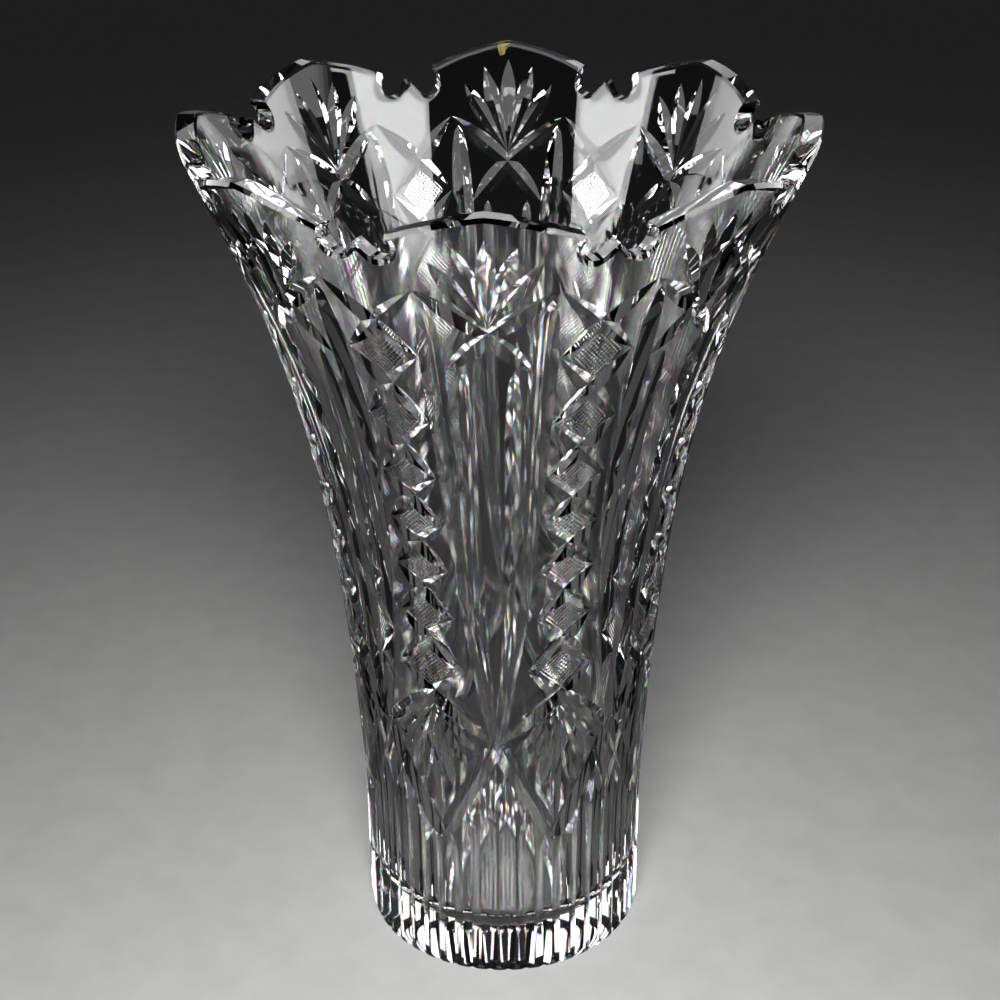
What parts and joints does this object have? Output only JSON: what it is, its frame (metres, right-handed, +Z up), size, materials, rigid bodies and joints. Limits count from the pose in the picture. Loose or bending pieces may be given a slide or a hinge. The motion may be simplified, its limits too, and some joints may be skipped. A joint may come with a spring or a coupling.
{
  "type": "cut crystal vase",
  "caption": "Tall flared vase of thick cut lead crystal with a lobed, notched rim, blade and diamond cuts and a fluted foot.",
  "frame": {"origin": "centre of the flat underside of the foot", "axes": "+Z up along the vase's axis; -Y through the middle of the front lobe; the foil label is on the +Y lobe"},
  "size_m": [0.207, 0.207, 0.305],
  "materials": {
    "crystal": "clear lead crystal, wheel-cut and polished",
    "gold_foil": "gold-lacquered foil, creased and torn"
  },
  "bodies": {
    "root": {"vase_body": "crystal", "foil_label": "gold_foil"}
  },
  "joints": []
}
